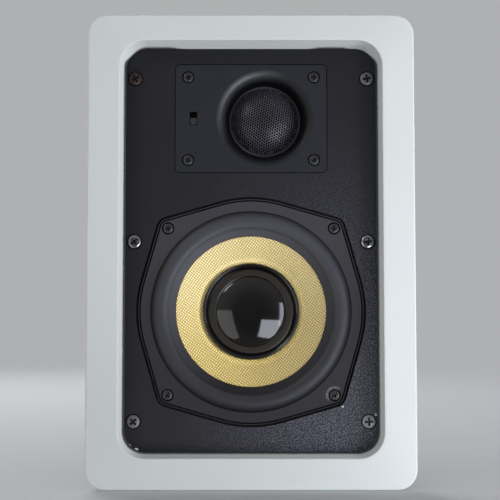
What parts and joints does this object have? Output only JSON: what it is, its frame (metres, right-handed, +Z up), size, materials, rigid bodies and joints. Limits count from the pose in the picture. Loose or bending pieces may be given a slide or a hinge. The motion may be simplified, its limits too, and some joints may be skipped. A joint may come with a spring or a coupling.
{
  "type": "in-wall speaker",
  "caption": "Rectangular in-wall two-way speaker: white bezel, sunk black baffle, yellow woven woofer cone, offset tweeter waveguide with a level switch, rear swing-out clamps.",
  "frame": {"origin": "middle of the bezel on the plane of the wall's face", "axes": "+Z up, the front faces -Y, +Y goes into the wall"},
  "size_m": [0.2116, 0.0746, 0.3062],
  "materials": {
    "white_paint": "satin white paint on moulded plastic",
    "black_baffle": "fine grained black plastic",
    "charcoal_plate": "satin charcoal plastic",
    "charcoal_flange": "satin charcoal coating on steel",
    "surround_rubber": "soft black rubber",
    "cone_weave": "woven yellow fibre cone",
    "cap_gloss": "glossy black",
    "gasket_foam": "black foam",
    "former_foil": "bare foil",
    "copper_wire": "enamelled copper wire",
    "spider_cloth": "resin-treated cloth",
    "plated_steel": "zinc plated",
    "ferrite": "sintered ferrite",
    "mesh_black": "black coated perforated sheet",
    "dome_silk": "coated cloth dome",
    "screw_black": "black oxide",
    "screw_zinc": "zinc plated",
    "nut_steel": "zinc plated",
    "dog_plastic": "tough black plastic",
    "switch_plastic": "black plastic",
    "slider_plastic": "dark grey plastic",
    "board_resin": "resin board",
    "bobbin_plastic": "natural plastic",
    "capacitor_film": "dipped film",
    "resistor_ceramic": "white ceramic",
    "terminal_plastic": "black plastic",
    "button_red": "red plastic",
    "button_black": "black plastic",
    "contact_brass": "tinned brass",
    "strip_resin": "brown resin sheet"
  },
  "bodies": {
    "root": {"baffle": "black_baffle", "bezel_frame": "white_paint", "board_screws": "screw_zinc", "crossover_board": "board_resin", "large_capacitor": "capacitor_film", "large_inductor_bobbin": "bobbin_plastic", "large_inductor_winding": "copper_wire", "resistor": "resistor_ceramic", "small_capacitor": "capacitor_film", "small_inductor_bobbin": "bobbin_plastic", "small_inductor_winding": "copper_wire", "spider": "spider_cloth", "switch_body": "switch_plastic", "terminal_contacts": "contact_brass", "terminal_housing": "terminal_plastic", "tweeter_coil": "copper_wire", "tweeter_dome": "dome_silk", "tweeter_magnet": "ferrite", "tweeter_mesh": "mesh_black", "tweeter_plate": "charcoal_plate", "tweeter_screws": "screw_black", "tweeter_top_plate": "plated_steel", "tweeter_yoke": "plated_steel", "woofer_basket": "charcoal_flange", "woofer_gasket": "gasket_foam", "woofer_magnet": "ferrite", "woofer_screws": "screw_black", "woofer_surround": "surround_rubber", "woofer_terminal_strip": "strip_resin", "woofer_terminal_tabs": "contact_brass", "woofer_top_plate": "plated_steel", "woofer_yoke": "plated_steel"},
    "woofer_moving": {"woofer_cone": "cone_weave", "dust_cap": "cap_gloss", "coil_former": "former_foil", "voice_coil": "copper_wire"},
    "level_slider": {"switch_slider": "slider_plastic"},
    "button_red": {"terminal_button_red": "button_red"},
    "button_black": {"terminal_button_black": "button_black"},
    "screw_top_right": {"clamp_screw_top_right": "screw_zinc"},
    "nut_top_right": {"clamp_nut_top_right": "nut_steel"},
    "dog_top_right": {"clamp_dog_top_right": "dog_plastic"},
    "screw_top_left": {"clamp_screw_top_left": "screw_zinc"},
    "nut_top_left": {"clamp_nut_top_left": "nut_steel"},
    "dog_top_left": {"clamp_dog_top_left": "dog_plastic"},
    "screw_middle_right": {"clamp_screw_middle_right": "screw_zinc"},
    "nut_middle_right": {"clamp_nut_middle_right": "nut_steel"},
    "dog_middle_right": {"clamp_dog_middle_right": "dog_plastic"},
    "screw_middle_left": {"clamp_screw_middle_left": "screw_zinc"},
    "nut_middle_left": {"clamp_nut_middle_left": "nut_steel"},
    "dog_middle_left": {"clamp_dog_middle_left": "dog_plastic"},
    "screw_bottom_right": {"clamp_screw_bottom_right": "screw_zinc"},
    "nut_bottom_right": {"clamp_nut_bottom_right": "nut_steel"},
    "dog_bottom_right": {"clamp_dog_bottom_right": "dog_plastic"},
    "screw_bottom_left": {"clamp_screw_bottom_left": "screw_zinc"},
    "nut_bottom_left": {"clamp_nut_bottom_left": "nut_steel"},
    "dog_bottom_left": {"clamp_dog_bottom_left": "dog_plastic"}
  },
  "joints": [
    {"name": "woofer_stroke", "type": "slide", "parent": "root", "child": "woofer_moving", "axis": [0, -1, 0], "range_m": [-0.003, 0.003], "stiffness_N_per_m": 1000, "deforming": ["woofer_surround", "spider"]},
    {"name": "level_slide", "type": "slide", "parent": "root", "child": "level_slider", "axis": [0, 0, 1], "range_m": [0, 0.0036]},
    {"name": "red_button_press", "type": "slide", "parent": "root", "child": "button_red", "axis": [0, -1, 0], "range_m": [0, 0.0025], "stiffness_N_per_m": 800, "springref_m": -0.0005},
    {"name": "black_button_press", "type": "slide", "parent": "root", "child": "button_black", "axis": [0, -1, 0], "range_m": [0, 0.0025], "stiffness_N_per_m": 800, "springref_m": -0.0005},
    {"name": "screw_turn_top_right", "type": "hinge", "parent": "root", "child": "screw_top_right", "pos_m": [0.0763, 0.0074, 0.1134], "axis": [0, 1, 0], "range_deg": [0, 4320]},
    {"name": "nut_travel_top_right", "type": "slide", "parent": "root", "child": "nut_top_right", "axis": [0, -1, 0], "range_m": [0, 0.018]},
    {"name": "dog_swing_top_right", "type": "hinge", "parent": "nut_top_right", "child": "dog_top_right", "pos_m": [0.0763, 0.0345, 0.1134], "axis": [0, 1, 0], "range_deg": [0, 90]},
    {"name": "screw_turn_top_left", "type": "hinge", "parent": "root", "child": "screw_top_left", "pos_m": [-0.0763, 0.0074, 0.1134], "axis": [0, 1, 0], "range_deg": [0, 4320]},
    {"name": "nut_travel_top_left", "type": "slide", "parent": "root", "child": "nut_top_left", "axis": [0, -1, 0], "range_m": [0, 0.018]},
    {"name": "dog_swing_top_left", "type": "hinge", "parent": "nut_top_left", "child": "dog_top_left", "pos_m": [-0.0763, 0.0345, 0.1134], "axis": [0, 1, 0], "range_deg": [0, 90]},
    {"name": "screw_turn_middle_right", "type": "hinge", "parent": "root", "child": "screw_middle_right", "pos_m": [0.0763, 0.0074, 0.0057], "axis": [0, 1, 0], "range_deg": [0, 4320]},
    {"name": "nut_travel_middle_right", "type": "slide", "parent": "root", "child": "nut_middle_right", "axis": [0, -1, 0], "range_m": [0, 0.018]},
    {"name": "dog_swing_middle_right", "type": "hinge", "parent": "nut_middle_right", "child": "dog_middle_right", "pos_m": [0.0763, 0.0345, 0.0057], "axis": [0, 1, 0], "range_deg": [0, 90]},
    {"name": "screw_turn_middle_left", "type": "hinge", "parent": "root", "child": "screw_middle_left", "pos_m": [-0.0763, 0.0074, 0.0057], "axis": [0, 1, 0], "range_deg": [0, 4320]},
    {"name": "nut_travel_middle_left", "type": "slide", "parent": "root", "child": "nut_middle_left", "axis": [0, -1, 0], "range_m": [0, 0.018]},
    {"name": "dog_swing_middle_left", "type": "hinge", "parent": "nut_middle_left", "child": "dog_middle_left", "pos_m": [-0.0763, 0.0345, 0.0057], "axis": [0, 1, 0], "range_deg": [0, 90]},
    {"name": "screw_turn_bottom_right", "type": "hinge", "parent": "root", "child": "screw_bottom_right", "pos_m": [0.0763, 0.0074, -0.1109], "axis": [0, 1, 0], "range_deg": [0, 4320]},
    {"name": "nut_travel_bottom_right", "type": "slide", "parent": "root", "child": "nut_bottom_right", "axis": [0, -1, 0], "range_m": [0, 0.018]},
    {"name": "dog_swing_bottom_right", "type": "hinge", "parent": "nut_bottom_right", "child": "dog_bottom_right", "pos_m": [0.0763, 0.0345, -0.1109], "axis": [0, 1, 0], "range_deg": [0, 90]},
    {"name": "screw_turn_bottom_left", "type": "hinge", "parent": "root", "child": "screw_bottom_left", "pos_m": [-0.0763, 0.0074, -0.1109], "axis": [0, 1, 0], "range_deg": [0, 4320]},
    {"name": "nut_travel_bottom_left", "type": "slide", "parent": "root", "child": "nut_bottom_left", "axis": [0, -1, 0], "range_m": [0, 0.018]},
    {"name": "dog_swing_bottom_left", "type": "hinge", "parent": "nut_bottom_left", "child": "dog_bottom_left", "pos_m": [-0.0763, 0.0345, -0.1109], "axis": [0, 1, 0], "range_deg": [0, 90]}
  ],
  "couplings": [
    {"joint": "screw_turn_top_right", "follows": "nut_travel_top_right", "rad_per_m": 4188.8},
    {"joint": "screw_turn_top_left", "follows": "nut_travel_top_left", "rad_per_m": 4188.8},
    {"joint": "screw_turn_middle_right", "follows": "nut_travel_middle_right", "rad_per_m": 4188.8},
    {"joint": "screw_turn_middle_left", "follows": "nut_travel_middle_left", "rad_per_m": 4188.8},
    {"joint": "screw_turn_bottom_right", "follows": "nut_travel_bottom_right", "rad_per_m": 4188.8},
    {"joint": "screw_turn_bottom_left", "follows": "nut_travel_bottom_left", "rad_per_m": 4188.8}
  ]
}
